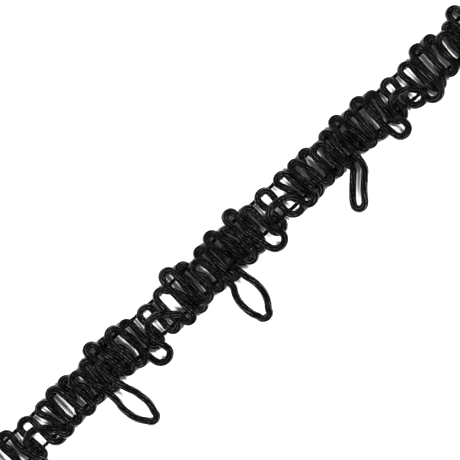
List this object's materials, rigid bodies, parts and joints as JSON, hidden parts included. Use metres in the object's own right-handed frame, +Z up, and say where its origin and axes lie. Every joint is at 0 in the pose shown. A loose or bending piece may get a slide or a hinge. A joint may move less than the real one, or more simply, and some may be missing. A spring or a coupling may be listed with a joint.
{
  "type": "button loop trim",
  "caption": "Flat black crochet trim of gimp cord laid in close scallops and held by chain stitches, with long empty loops for buttons along one edge.",
  "frame": {"origin": "on the table under the middle of the trim's whole outline", "axes": "+X along the trim, -Y towards the side that the button loops leave, +Z up from the table"},
  "size_m": [0.1882, 0.0312, 0.0044],
  "materials": {
    "black_gimp": "satin thread wound round a core",
    "black_chain_thread": "fine twisted sewing thread"
  },
  "bodies": {
    "root": {"gimp_front": "black_gimp", "gimp_back": "black_gimp", "edge_chain_upper": "black_chain_thread", "edge_chain_lower": "black_chain_thread"}
  },
  "joints": []
}
